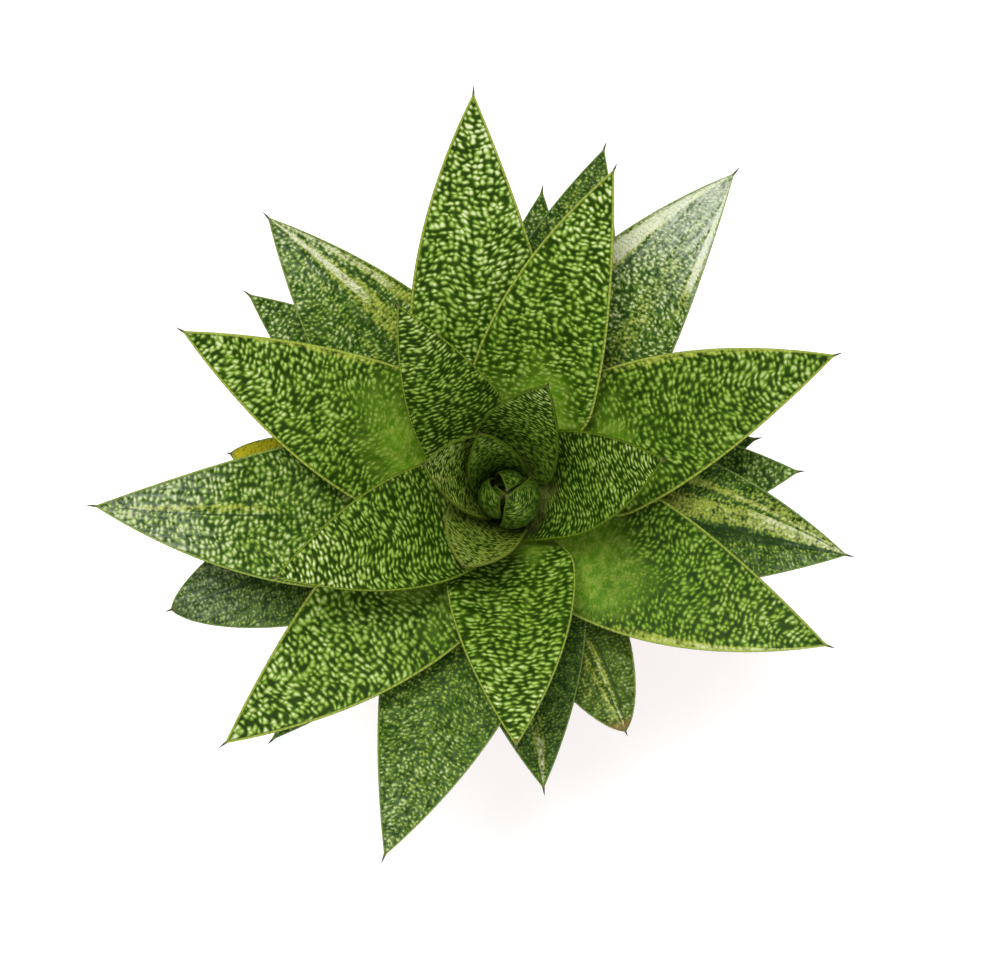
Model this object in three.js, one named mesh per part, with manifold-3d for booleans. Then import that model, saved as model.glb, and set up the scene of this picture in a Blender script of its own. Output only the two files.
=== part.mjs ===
// A gasteria: a rosette of thick, spotted leaves on a short stem, in a plain clay pot of soil.
//
// Millimetres, +Z up. The origin is the centre of the pot's flat base, on the surface that it stands on.
// Azimuth is measured in degrees from +X towards +Y, and the stem's axis is the Z axis.
// leaf_01 is the oldest and lowest leaf; the last four are the furled leaves of the bud.

import * as THREE from "three";
import { LoftGeometry } from "three/addons/geometries/LoftGeometry.js";
import { mergeVertices } from "three/addons/utils/BufferGeometryUtils.js";
import Module from "manifold-3d";

// ---------------------------------------------------------------- driving dimensions

const GAP = 0.3; // between pieces that touch on the real plant

// Clay pot
const POT_HEIGHT = 70;
const POT_RIM_RADIUS = 38;
const POT_BASE_RADIUS = 26;
const POT_WALL = 4;
const POT_FLOOR = 5;
const COLLAR_HEIGHT = 15; // the thicker band under the rim
const COLLAR_STEP = 2.2; // how far the collar stands out of the wall below it
const COLLAR_FLARE = 0.8; // how much wider the collar is at the rim than at its lower edge
const EDGE_ROUNDING = 1; // bevel of the rim and the foot
const DRAIN_HOLES = 3;
const DRAIN_RADIUS = 3;
const DRAIN_CIRCLE = 12;
const DRAIN_SIDES = 16;
const POT_SIDES = 48;

// Soil
const SOIL_TOP = 63; // height of the soil where it meets the pot
const SOIL_MOUND = 3; // how much higher it lies at the stem

// Stem: a stout peg with a domed top that the youngest leaves stand on, and a root crown in the soil
const STEM_FOOT = 40;
const STEM_FOOT_RADIUS = 3;
const STEM_RADIUS = 8.5;
const STEM_SHOULDER = 88; // height where the dome begins
const STEM_TOP = 97.5;
const STEM_SIDES = 24;
const CROWN_DEPTH = 8; // below the soil's edge, where the root crown begins to taper
const DOME_STEPS = [0.3, 0.5, 0.7, 0.85, 0.95, 1]; // shares of the dome's height

// Leaf blade
const RIM_THICKNESS = 0.8; // at the margin
const BLADE_THICKNESS = 4.4; // at the midrib of a grown leaf, where it is thickest
const THIN_FOOT = 0.35; // thickness of the foot, as a share of the thickest
const FULL_AT = 0.45; // share of the length where the blade reaches its full thickness
const FOOT_SHARE = 0.32; // width of the foot, as a share of the widest
const WIDEST_AT = 0.25; // share of the length where the blade is widest
const FOOT_FLARE = 1.8; // exponent of the outline between the foot and the widest place
const TAPER = 1.9; // exponent of the outline from there to a pointed tip
const BLUNT_TAPER = 2.4; // the same for a blunt tip
const BLUNT_ROUNDING = 0.7;
const MIDRIB_HANDLE = 0.45; // length of the midrib's first, straight rise, as a share of its chord
const CHANNEL = 0.006; // curvature of the channelled upper face, per millimetre
const LEAST_WRAP = 2; // smallest radius that a furled leaf wraps round
const THIN_TIP = 0.35; // the blade thins where it is narrower than this share of its width
const BLUNT_EDGE = 0.6; // most of the middle's thickness that the margin may have
const TIP_CROWN = 0.2; // rise of the upper face beside the tip, as a share of the thickness
const TIP_CROWN_FROM = 4; // half width, in thicknesses of the point, where that rise begins
const MUCRO_SHARE = 0.05; // length of the small hooked point on the tip, as a share of the width
const MUCRO_THICKNESS = 0.7;
const MUCRO_HOOK = 0.3; // how far the point turns up, as a share of its length
const MUCRO_NARROWING = 0.3; // how much slimmer its end is than its root
const STATIONS = [0, 0.07, 0.15, 0.25, 0.36, 0.48, 0.6, 0.71, 0.81, 0.89, 0.95, 0.98, 1];
const UPPER_CORNERS = [1, 0.6, 0.2, -0.2, -0.6, -1]; // across the upper face, in half widths

// One entry a leaf, oldest first.
// azimuth: where it points. reach: from the stem's axis to the blade's tip, in plan.
// base: height of its foot. lift: height of the tip over the foot. rise: slope at the foot, degrees.
// width: at its widest. bow: sideways bend of the midrib. clasp: how far it wraps round the axis,
// from 0 for flat to 1 for concentric. blunt: a rounded tip. Where a leaf departs from the rest,
// foot is its FOOT_SHARE, thick its BLADE_THICKNESS, and start the radius where its foot stands.
const LEAVES = [
  { azimuth: 226.5, reach: 73.5, base: 68, lift: 12, rise: 20, width: 25, bow: 0, clasp: 0.1 },
  { azimuth: 12.5, reach: 56, base: 68, lift: 12, rise: 20, width: 24, bow: 0, clasp: 0.1 },
  {
    azimuth: 171.5, reach: 60, base: 70.5, lift: 12, rise: 18, width: 19, bow: 0.5,
    clasp: 0.1, blunt: true,
  },
  { azimuth: 83, reach: 66.5, base: 68, lift: 12, rise: 20, width: 25, bow: 0, clasp: 0.1 },
  { azimuth: 4.5, reach: 63.5, base: 74.5, lift: 11, rise: 16, width: 28, bow: 0, clasp: 0.1 },
  { azimuth: 142, reach: 70, base: 75.5, lift: 11, rise: 15, width: 27, bow: 0, clasp: 0.1 },
  { azimuth: 297, reach: 57, base: 76.5, lift: 10, rise: 14, width: 23, bow: 0.5, clasp: 0.1, blunt: true },
  { azimuth: 199, reach: 75.5, base: 78, lift: 11, rise: 14, width: 29, bow: 0, clasp: 0.1, blunt: true },
  { azimuth: 277.5, reach: 63, base: 81.5, lift: 11, rise: 15, width: 29, bow: 0, clasp: 0.1 },
  { azimuth: 74, reach: 77, base: 77.5, lift: 12, rise: 15, width: 31, bow: 0.5, clasp: 0.1 },
  { azimuth: 350, reach: 73.5, base: 83, lift: 13, rise: 16, width: 33, bow: 1, clasp: 0.1 },
  { azimuth: 251.5, reach: 80, base: 86, lift: 14, rise: 17, width: 33, bow: 1, clasp: 0.1 },
  { azimuth: 54.5, reach: 83, base: 84.5, lift: 16, rise: 18, width: 32.5, bow: 2.5, clasp: 0.1 },
  { azimuth: 130.5, reach: 76.5, base: 86, lift: 16, rise: 18, width: 32, bow: -0.5, clasp: 0.1 },
  { azimuth: 181.5, reach: 85.5, base: 88, lift: 18, rise: 20, width: 34, bow: 3, clasp: 0.12 },
  { azimuth: 335, reach: 74, base: 85, lift: 22, rise: 24, width: 31, bow: -2, clasp: 0.15 },
  { azimuth: 221.5, reach: 77, base: 90.5, lift: 22, rise: 24, width: 32, bow: 1.5, clasp: 0.15 },
  { azimuth: 23, reach: 74, base: 87.5, lift: 24, rise: 26, width: 30.5, bow: 1.5, clasp: 0.15 },
  { azimuth: 94.5, reach: 83, base: 88.5, lift: 24, rise: 26, width: 31.5, bow: 2.5, clasp: 0.15 },
  { azimuth: 153, reach: 74, base: 92, lift: 25, rise: 28, width: 30, bow: 0.5, clasp: 0.15 },
  { azimuth: 71.5, reach: 70, base: 91.5, lift: 27, rise: 30, width: 27, bow: 2, clasp: 0.15 },
  { azimuth: 119.5, reach: 44, base: 93.5, lift: 32, rise: 48, width: 20.5, bow: 0.5, clasp: 0.3 },
  { azimuth: 272.5, reach: 50.5, base: 92, lift: 32, rise: 46, width: 27.5, bow: 0.5, clasp: 0.3 },
  {
    azimuth: 199.5, reach: 49, base: 95, lift: 33, rise: 48, width: 26, bow: 0.5,
    clasp: 0.7, foot: 0.8, start: 7.4,
  },
  {
    azimuth: 13, reach: 32.5, base: 93.5, lift: 34, rise: 58, width: 24, bow: -0.4,
    clasp: 0.7, foot: 1.12, start: 7.3,
  },
  {
    azimuth: 69, reach: 23.5, base: 95.5, lift: 36, rise: 68, width: 20, bow: 1.5,
    clasp: 0.8, foot: 0.6, thick: 3, start: 6.6,
  },
  {
    azimuth: 239.5, reach: 16.3, base: 97, lift: 32, rise: 72, width: 17.5, bow: -0.8,
    clasp: 0.7, foot: 1, thick: 2.6, start: 7,
  },
  {
    azimuth: 159, reach: 17.5, base: 97.4, lift: 32, rise: 72, width: 19, bow: -2,
    clasp: 0.9, foot: 0.9, thick: 2.6, start: 5.4,
  },
  {
    azimuth: 112, reach: 13.5, base: 98, lift: 28, rise: 76, width: 13.5, bow: 0,
    clasp: 0.9, foot: 0.5, thick: 2.4, start: 4,
  },
  {
    azimuth: 329, reach: -0.1, base: 98, lift: 24.5, rise: 74, width: 15, bow: 0,
    clasp: 1, foot: 0.5, thick: 1.6, start: 5.5,
  },
  {
    azimuth: 201, reach: 0.8, base: 98, lift: 22.5, rise: 67, width: 11, bow: 0,
    clasp: 1, foot: 0.5, thick: 1.4, start: 2.8,
  },
  {
    azimuth: 69, reach: 0.8, base: 98.5, lift: 20.3, rise: 52, width: 7, bow: 0,
    clasp: 1, foot: 0.5, thick: 0.9, start: 2,
  },
  {
    azimuth: 183, reach: -1.2, base: 99.3, lift: 17, rise: 48, width: 5, bow: 0,
    clasp: 1, foot: 0.5, thick: 0.8, start: 0.2,
  },
];

const BUD_LEAVES = 4; // the last leaves of the table, still furled

const FINISHES = {
  pot: { color: 0xb5673f, roughness: 0.85 },
  soil: { color: 0x3b2d22, roughness: 0.95 },
  stem: { color: 0x8c8a4a, roughness: 0.7 },
  leaf: { color: 0x4f7a35, roughness: 0.45 },
  bud: { color: 0x47652f, roughness: 0.5 },
};

// ---------------------------------------------------------------- shapes

const wasm = await Module();
wasm.setup();

/** The geometry as a solid for joining and cutting: positions only, with shared vertices merged. */
function solidOf(geometry) {
  const bare = geometry.clone();
  bare.deleteAttribute("normal");
  bare.deleteAttribute("uv");
  const merged = mergeVertices(bare, 1e-4);
  return new wasm.Manifold(
    new wasm.Mesh({
      numProp: 3,
      vertProperties: merged.attributes.position.array,
      triVerts: new Uint32Array(merged.index.array),
    }),
  );
}

/** A solid back as a geometry that can be drawn. */
function geometryOf(solid) {
  const { vertProperties, triVerts } = solid.getMesh();
  const geometry = new THREE.BufferGeometry();
  geometry.setAttribute("position", new THREE.BufferAttribute(vertProperties, 3));
  geometry.setIndex(new THREE.BufferAttribute(triVerts, 1));
  geometry.computeVertexNormals();
  return geometry;
}

/** A solid of revolution about +Z, from a profile of [radius, height] that runs up its outside. */
function turned(profile, sides) {
  const points = profile.map(([radius, height]) => new THREE.Vector2(radius, height));
  return new THREE.LatheGeometry(points, sides).rotateX(Math.PI / 2);
}

/** Outer radius of the pot's wall at a height, below the collar. */
function wallRadius(height) {
  const below = POT_RIM_RADIUS - COLLAR_STEP - COLLAR_FLARE;
  return THREE.MathUtils.lerp(POT_BASE_RADIUS, below, height / (POT_HEIGHT - COLLAR_HEIGHT));
}

/** Inner radius of the pot at a height. */
function boreRadius(height) {
  return wallRadius(height) - POT_WALL;
}

/** Pot: a tapered wall with a thicker collar under the rim, and drain holes through its floor. */
function potGeometry() {
  const collar = POT_HEIGHT - COLLAR_HEIGHT;
  const e = EDGE_ROUNDING;
  const body = turned(
    [
      [0, 0],
      [POT_BASE_RADIUS - e, 0],
      [POT_BASE_RADIUS, e],
      [wallRadius(collar), collar],
      [wallRadius(collar) + COLLAR_STEP, collar + e],
      [POT_RIM_RADIUS, POT_HEIGHT - e],
      [POT_RIM_RADIUS - e, POT_HEIGHT],
      [boreRadius(POT_HEIGHT) + e, POT_HEIGHT],
      [boreRadius(POT_HEIGHT - e), POT_HEIGHT - e],
      [boreRadius(POT_FLOOR + 2 * e), POT_FLOOR + 2 * e],
      [boreRadius(POT_FLOOR) - 2 * e, POT_FLOOR],
      [0, POT_FLOOR],
    ],
    POT_SIDES,
  );
  let pot = solidOf(body);
  for (let i = 0; i < DRAIN_HOLES; i++) {
    const angle = (2 * Math.PI * i) / DRAIN_HOLES;
    const x = DRAIN_CIRCLE * Math.cos(angle);
    const y = DRAIN_CIRCLE * Math.sin(angle);
    const drill = new THREE.CylinderGeometry(DRAIN_RADIUS, DRAIN_RADIUS, 3 * POT_FLOOR, DRAIN_SIDES);
    drill.rotateX(Math.PI / 2).translate(x, y, 0);
    pot = pot.subtract(solidOf(drill));
  }
  return geometryOf(pot);
}

/** Radius of the stem at a height above the soil. */
function stemRadius(height) {
  const share = THREE.MathUtils.clamp((height - STEM_SHOULDER) / (STEM_TOP - STEM_SHOULDER), 0, 1);
  return STEM_RADIUS * Math.sqrt(1 - share * share);
}

/** Profile of the stem's outside, from the root crown up to the dome's top. */
function stemProfile() {
  const dome = DOME_STEPS.map((share) => {
    const height = THREE.MathUtils.lerp(STEM_SHOULDER, STEM_TOP, share);
    return [stemRadius(height), height];
  });
  return [
    [0, STEM_FOOT],
    [STEM_FOOT_RADIUS, STEM_FOOT],
    [STEM_RADIUS, SOIL_TOP - CROWN_DEPTH],
    [STEM_RADIUS, STEM_SHOULDER],
    ...dome,
  ];
}

/** Soil: it fills the pot's bore, mounds up to the stem, and has a plain hole for the root crown. */
function soilGeometry() {
  const bottom = POT_FLOOR + GAP;
  const corner = 2 * EDGE_ROUNDING;
  return turned(
    [
      [0, bottom],
      [boreRadius(bottom) - corner - GAP, bottom],
      [boreRadius(bottom + corner) - GAP, bottom + corner],
      [boreRadius(SOIL_TOP) - GAP, SOIL_TOP],
      [STEM_RADIUS + GAP, SOIL_TOP + SOIL_MOUND],
      [STEM_RADIUS + GAP, SOIL_TOP - CROWN_DEPTH],
      [STEM_FOOT_RADIUS + GAP, STEM_FOOT - GAP],
      [0, STEM_FOOT - GAP],
    ],
    POT_SIDES,
  );
}

/** Half of the blade's width at a share t of its length, as a share of the widest. */
function outline(leaf, t) {
  if (t < WIDEST_AT) {
    const back = (WIDEST_AT - t) / WIDEST_AT;
    return 1 - (1 - (leaf.foot ?? FOOT_SHARE)) * Math.pow(back, FOOT_FLARE);
  }
  const out = (t - WIDEST_AT) / (1 - WIDEST_AT);
  if (leaf.blunt) return Math.pow(1 - Math.pow(out, BLUNT_TAPER), BLUNT_ROUNDING);
  return 1 - Math.pow(out, TAPER);
}

const UPRIGHT = new THREE.Vector3(0, 0, 1);

/** The leaf's midrib, on its upper face: an arc in the upright plane of its azimuth, bowed sideways. */
function midribOf(leaf) {
  const azimuth = THREE.MathUtils.degToRad(leaf.azimuth);
  const rise = THREE.MathUtils.degToRad(leaf.rise);
  const start = leaf.start ?? stemRadius(leaf.base) + GAP;
  const handle = MIDRIB_HANDLE * Math.hypot(leaf.reach - start, leaf.lift);
  const at = (radius, height, aside) =>
    new THREE.Vector3(radius, aside, leaf.base + height).applyAxisAngle(UPRIGHT, azimuth);
  return new THREE.QuadraticBezierCurve3(
    at(start, 0, 0),
    at(start + handle * Math.cos(rise), handle * Math.sin(rise), 2 * leaf.bow),
    at(leaf.reach, leaf.lift, 0),
  );
}

/** Cross section at a share t of the length: the channelled upper face, then the keeled lower face. */
function section(leaf, midrib, t) {
  const azimuth = THREE.MathUtils.degToRad(leaf.azimuth);
  const side = new THREE.Vector3(-Math.sin(azimuth), Math.cos(azimuth), 0);
  const centre = midrib.getPoint(t);
  const forward = midrib.getTangent(t);
  const up = forward.clone().cross(side).normalize();
  const across = up.clone().cross(forward).normalize();

  const half = Math.max(0.5 * leaf.width * outline(leaf, t), 0.5 * MUCRO_THICKNESS);
  const bend = leaf.clasp / Math.max(LEAST_WRAP, Math.hypot(centre.x, centre.y)) + CHANNEL;
  const filling = THIN_FOOT + (1 - THIN_FOOT) * THREE.MathUtils.smoothstep(t, 0, FULL_AT);
  const fullness = Math.min(filling, half / (THIN_TIP * leaf.width));
  const middle = Math.max(MUCRO_THICKNESS, (leaf.thick ?? BLADE_THICKNESS) * fullness);
  const rim = Math.min(RIM_THICKNESS, BLUNT_EDGE * middle);
  const crown = TIP_CROWN * middle * Math.max(0, 1 - half / (TIP_CROWN_FROM * MUCRO_THICKNESS));

  const face = (v, depth) => {
    const turn = bend * v * half;
    const inward = up.clone().multiplyScalar(Math.cos(turn)).addScaledVector(across, -Math.sin(turn));
    return centre
      .clone()
      .addScaledVector(across, Math.sin(turn) / bend)
      .addScaledVector(up, (1 - Math.cos(turn)) / bend)
      .addScaledVector(inward, -depth);
  };
  const upper = UPPER_CORNERS.map((v) => face(v, -crown * (1 - v * v)));
  const lower = UPPER_CORNERS.map((v) => face(-v, rim + (middle - rim) * (1 - v * v)));
  return [...upper, ...lower];
}

/** A leaf: a loft through its sections, and one more section for the hooked point on its tip. */
function leafGeometry(leaf) {
  const midrib = midribOf(leaf);
  const sections = STATIONS.map((t) => section(leaf, midrib, t));
  const tip = midrib.getPoint(1);
  const reach = MUCRO_SHARE * leaf.width;
  const point = midrib.getTangent(1).addScaledVector(UPRIGHT, MUCRO_HOOK).multiplyScalar(reach);
  sections.push(sections.at(-1).map((corner) => corner.clone().lerp(tip, MUCRO_NARROWING).add(point)));
  return new LoftGeometry(sections, { capStart: true, capEnd: true });
}

// ---------------------------------------------------------------- the scene

const plant = new THREE.Group();

/** Adds one named piece with a material of its own. */
function add(name, geometry, finish) {
  const mesh = new THREE.Mesh(geometry, new THREE.MeshStandardMaterial({ ...finish, metalness: 0 }));
  mesh.name = name;
  plant.add(mesh);
}

add("pot", potGeometry(), FINISHES.pot);
add("soil", soilGeometry(), FINISHES.soil);
add("stem", turned(stemProfile(), STEM_SIDES), FINISHES.stem);
LEAVES.forEach((leaf, i) => {
  const name = "leaf_" + String(i + 1).padStart(2, "0");
  const furled = i >= LEAVES.length - BUD_LEAVES;
  add(name, leafGeometry(leaf), furled ? FINISHES.bud : FINISHES.leaf);
});

export default plant;
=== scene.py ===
# %% [markdown]
# # A gasteria in a clay pot
#
# The plant is a rosette of thick leaves on a short stem, rooted in a pot of soil. The construction is
# already there, as plain faceted solids at their real size. This lesson dresses each of them: it works out
# a finer surface for every leaf, for the stem, the soil and the pot, and gives each surface a finish made
# of nodes. Every surface is a function of two parameters on a grid, worked out for all its points at once
# with numpy.
#
# Lengths are in millimetres while a shape is worked out, and become metres when it is put into a mesh.

# %% Load the construction
import math
from types import SimpleNamespace

import bpy
import numpy as np
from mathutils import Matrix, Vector


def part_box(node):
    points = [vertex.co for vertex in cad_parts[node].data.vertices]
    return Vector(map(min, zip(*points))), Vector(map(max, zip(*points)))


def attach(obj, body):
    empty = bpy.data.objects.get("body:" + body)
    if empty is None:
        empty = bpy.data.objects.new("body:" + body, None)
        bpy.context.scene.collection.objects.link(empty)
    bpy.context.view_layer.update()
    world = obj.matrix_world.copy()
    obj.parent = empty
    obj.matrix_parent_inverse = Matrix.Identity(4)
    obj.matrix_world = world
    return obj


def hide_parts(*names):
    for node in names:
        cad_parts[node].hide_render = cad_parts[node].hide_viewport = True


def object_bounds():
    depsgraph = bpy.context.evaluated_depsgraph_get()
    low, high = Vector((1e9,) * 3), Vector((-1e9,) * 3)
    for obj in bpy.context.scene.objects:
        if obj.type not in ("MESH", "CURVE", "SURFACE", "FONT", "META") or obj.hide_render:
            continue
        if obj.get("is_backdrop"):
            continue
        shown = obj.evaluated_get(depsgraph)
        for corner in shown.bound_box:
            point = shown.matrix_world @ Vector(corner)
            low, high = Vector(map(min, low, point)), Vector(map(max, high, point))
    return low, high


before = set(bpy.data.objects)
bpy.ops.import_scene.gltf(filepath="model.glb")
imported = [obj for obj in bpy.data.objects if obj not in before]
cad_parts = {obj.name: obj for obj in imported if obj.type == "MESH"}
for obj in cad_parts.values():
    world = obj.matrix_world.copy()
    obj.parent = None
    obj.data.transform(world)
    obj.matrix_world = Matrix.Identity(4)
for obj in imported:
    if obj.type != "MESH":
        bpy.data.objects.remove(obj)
construction_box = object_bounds()
MM = 0.001

# %% [markdown]
# ## The view
#
# A rosette is best seen in plan, so the camera hangs straight above it and looks down. It stands 600 mm
# above the middle leaves, where the picture is 210 mm wide, and the focal length follows: the sensor's
# width times the distance, divided by the picture's width. A hard lamp would leave black gaps between the
# leaves. So the light is that of a white tent: a large soft lamp high behind the top edge of the picture, a
# weaker one opposite, and a pale sky for the shadows.

# %% Camera
VIEW_WIDTH = 210.0  # width of what the camera sees at the middle leaves
VIEW_DISTANCE = 600.0
VIEW_LEVEL = 100.0  # height of the middle leaves
VIEW_CENTRE = (-1.05, 3.15)
SENSOR = 36.0  # width of the camera's sensor

eye = bpy.data.cameras.new("plan_view")
eye.sensor_width = SENSOR
eye.lens = SENSOR * VIEW_DISTANCE / VIEW_WIDTH
eye.clip_start = 0.01
camera = bpy.data.objects.new("plan_view", eye)
camera.location = (VIEW_CENTRE[0] * MM, VIEW_CENTRE[1] * MM, (VIEW_LEVEL + VIEW_DISTANCE) * MM)
bpy.context.scene.collection.objects.link(camera)
bpy.context.scene.camera = camera
bpy.context.scene.view_settings.view_transform = "Standard"
print(f"camera: {eye.lens:.0f} mm lens, {VIEW_DISTANCE:.0f} mm above the middle leaves")


# %% Lamps and sky
SKY_STRENGTH = 0.55


def soft_lamp(name, place, size, watts):
    """A square lamp of that size in metres, at a place in metres, turned towards the rosette."""
    light = bpy.data.lights.new(name, "AREA")
    light.size = size
    light.energy = watts
    lamp = bpy.data.objects.new(name, light)
    lamp.location = place
    middle = Vector((0, 0, VIEW_LEVEL * MM))
    lamp.rotation_euler = (middle - lamp.location).to_track_quat("-Z", "Y").to_euler()
    bpy.context.scene.collection.objects.link(lamp)
    print(f"lamp {name}: {watts} watts, {size} m square")


soft_lamp("key", (-0.2, 0.5, 1.45), 0.6, 17)
soft_lamp("fill", (0.6, -0.8, 1.0), 0.9, 3)

sky = bpy.data.worlds.new("pale_sky")
sky.use_nodes = True
sky.node_tree.nodes["Background"].inputs["Color"].default_value = (1, 1, 1, 1)
sky.node_tree.nodes["Background"].inputs["Strength"].default_value = SKY_STRENGTH
bpy.context.scene.world = sky


# %% [markdown]
# ## Writing a finish
#
# A finish is a small network of nodes. It could be wired by hand, but it reads much better as arithmetic.
# So a `Value` wraps one output of a node, and adding, subtracting or multiplying values puts the Math node
# there. `Finish.node` makes any other node.

# %% Values
class Value:
    """One number, colour or vector inside a finish. Arithmetic on it adds Math nodes."""

    def __init__(self, finish, socket):
        self.finish = finish
        self.socket = socket

    def _math(self, operation, first, second):
        return self.finish.node("ShaderNodeMath", {"operation": operation}, {0: first, 1: second})

    def __add__(self, other):
        return self._math("ADD", self, other)

    __radd__ = __add__

    def __sub__(self, other):
        return self._math("SUBTRACT", self, other)

    def __rsub__(self, other):
        return self._math("SUBTRACT", other, self)

    def __mul__(self, other):
        return self._math("MULTIPLY", self, other)

    __rmul__ = __mul__

    def sine(self):
        return self._math("SINE", self, 0.0)

    def rise(self, low, high):
        """0 where the value is low or less, 1 where it is high or more, and smooth between."""
        inputs = {"Value": self, "From Min": low, "From Max": high}
        return self.finish.node("ShaderNodeMapRange", {"interpolation_type": "SMOOTHSTEP"}, inputs)


# %% A finish
class Finish:
    """A material in the making, around one Principled shader."""

    def __init__(self, name):
        self.material = bpy.data.materials.new(name)
        self.material.use_nodes = True
        self.tree = self.material.node_tree
        self.shader = self.tree.nodes["Principled BSDF"]

    def node(self, kind, settings=None, inputs=None, output=0):
        """Adds a node, sets its settings, then gives its sockets a number or a link. Returns an output."""
        made = self.tree.nodes.new(kind)
        for name, setting in (settings or {}).items():
            if name == "stops":
                self.set_stops(made.color_ramp, setting)
            else:
                setattr(made, name, setting)
        for key, given in (inputs or {}).items():
            self.give(self.socket_of(made.inputs, key), given)
        return Value(self, self.socket_of(made.outputs, output))

    @staticmethod
    def socket_of(sockets, key):
        """A socket by its number, its name, or its identifier where names repeat."""
        if isinstance(key, int):
            return sockets[key]
        by_identifier = [s for s in sockets if s.identifier == key]
        return by_identifier[0] if by_identifier else sockets[key]

    @staticmethod
    def set_stops(ramp, stops):
        """Stops are pairs of a place from 0 to 1 and a colour."""
        while len(ramp.elements) < len(stops):
            ramp.elements.new(1.0)
        for element, (place, colour) in zip(ramp.elements, stops):
            element.position = place
            element.color = colour

    def give(self, socket, given):
        """Links a value to the socket, or sets the socket's own number or colour."""
        if isinstance(given, Value):
            self.tree.links.new(given.socket, socket)
        else:
            socket.default_value = given

    def attribute(self, name):
        """A number stored at each point of the piece."""
        return self.node("ShaderNodeAttribute", {"attribute_name": name}, output="Fac")

    def mix(self, share, first, second):
        """The first colour where share is 0, the second where it is 1."""
        inputs = {"Factor_Float": share, "A_Color": first, "B_Color": second}
        return self.node("ShaderNodeMix", {"data_type": "RGBA"}, inputs, "Result_Color")

    def ramp(self, share, stops):
        """A colour from a row of stops, taken at share."""
        return self.node("ShaderNodeValToRGB", {"stops": stops}, {"Fac": share}, "Color")

    def grain(self, place, scale, detail=2.0):
        """Cloudy noise from 0 to 1, with `scale` clouds to one unit of the place."""
        inputs = {"Vector": place, "Scale": scale, "Detail": detail}
        return self.node("ShaderNodeTexNoise", None, inputs, 0)

    def part(self, place, axis):
        """One of the three numbers of a place: its X, Y or Z."""
        return self.node("ShaderNodeSeparateXYZ", None, {0: place}, axis)

    def object_place(self):
        """The place in the room, in metres."""
        return self.node("ShaderNodeTexCoord", None, None, "Object")

    def surface_place(self, name, stretch=(1.0, 1.0, 1.0)):
        """The piece's own coordinates, in millimetres along and across, stretched by a factor each way."""
        place = self.node("ShaderNodeUVMap", {"uv_map": name})
        return self.node("ShaderNodeVectorMath", {"operation": "MULTIPLY"}, {0: place, 1: stretch})

    def bump(self, height, depth):
        """A normal for a height from 0 to 1 that stands for that depth in millimetres."""
        inputs = {"Height": height, "Strength": 1.0, "Distance": depth * MM}
        return self.node("ShaderNodeBump", None, inputs)

    def done(self, **inputs):
        """Gives the shader its inputs, whose names have _ for a space, and returns the material."""
        for name, given in inputs.items():
            self.give(self.shader.inputs[name.replace("_", " ")], given)
        return self.material


# %% Colours
def tint(code):
    """A colour written as six hexadecimal digits of sRGB, as the linear numbers that a shader takes."""
    parts = [int(code[i:i + 2], 16) / 255 for i in (0, 2, 4)]
    linear = [p / 12.92 if p <= 0.04045 else ((p + 0.055) / 1.055) ** 2.4 for p in parts]
    return (*linear, 1.0)


# %% [markdown]
# ## From a grid of points to a piece
#
# Leaves, stem, soil and pot are all closed tubes: a ring of points is carried along a path or up an axis,
# and one more point at each end closes it. They could be modelled by hand, but a formula keeps them to the
# lines of their plain solids. So one helper turns a grid of worked-out points into a mesh. A ring that runs
# anticlockwise round the direction in which the rings follow each other gives faces that point outwards.

# %% Curves and smooth random numbers
NET_SIDE = 64  # squares of the net of random numbers, which then repeats


def lerp(first, second, share):
    """The value that lies that share of the way from the first to the second."""
    return first + (second - first) * share


def rise(x, low, high):
    """0 below low, 1 above high, and 3s^2 - 2s^3 of the share s of the way between."""
    share = np.clip((x - low) / (high - low), 0, 1)
    return share * share * (3 - 2 * share)


def drift(x, y, size, seed):
    """Smooth random numbers from 0 to 1 over a plane: one is drawn for each corner of a net of squares, and
    between corners they run into each other along the rise curve."""
    table = np.random.default_rng(seed).random((NET_SIDE, NET_SIDE))
    i, j = np.floor(x / size).astype(int), np.floor(y / size).astype(int)
    u, v = rise(x / size - i, 0, 1), rise(y / size - j, 0, 1)
    corner = [[table[(i + a) % NET_SIDE, (j + b) % NET_SIDE] for b in (0, 1)] for a in (0, 1)]
    return lerp(lerp(corner[0][0], corner[1][0], u), lerp(corner[0][1], corner[1][1], u), v)


# %% Closed tubes
def tube_faces(rings, sides):
    """Faces of a closed tube whose points are numbered ring by ring, then the point that closes the first
    ring and the point that closes the last."""
    start = np.arange(rings - 1)[:, None] * sides
    here, beside = np.arange(sides)[None, :], np.roll(np.arange(sides), -1)[None, :]
    quads = np.stack([start + here, start + beside, start + sides + beside, start + sides + here], -1)
    last = (rings - 1) * sides
    first_end = np.stack(np.broadcast_arrays(rings * sides, beside[0], here[0]), -1)
    last_end = np.stack(np.broadcast_arrays(rings * sides + 1, last + here[0], last + beside[0]), -1)
    return quads.reshape(-1, 4).tolist() + first_end.tolist() + last_end.tolist()


def with_ends(grid):
    """The grid's values as one list, followed by the mean of its first ring and of its last."""
    flat = grid.reshape(-1, *grid.shape[2:])
    return np.concatenate([flat, grid[:1].mean(axis=1), grid[-1:].mean(axis=1)])


# %% From grid to piece
def put_in_scene(name, mesh, material, slot, *replaced):
    """Makes a mesh an object of the scene that rides on the plant's one body."""
    mesh.materials.append(material)
    mesh.shade_smooth()
    piece = bpy.data.objects.new(name, mesh)
    bpy.context.scene.collection.objects.link(piece)
    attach(piece, "root")
    if replaced:
        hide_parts(*replaced)
    return piece


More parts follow.
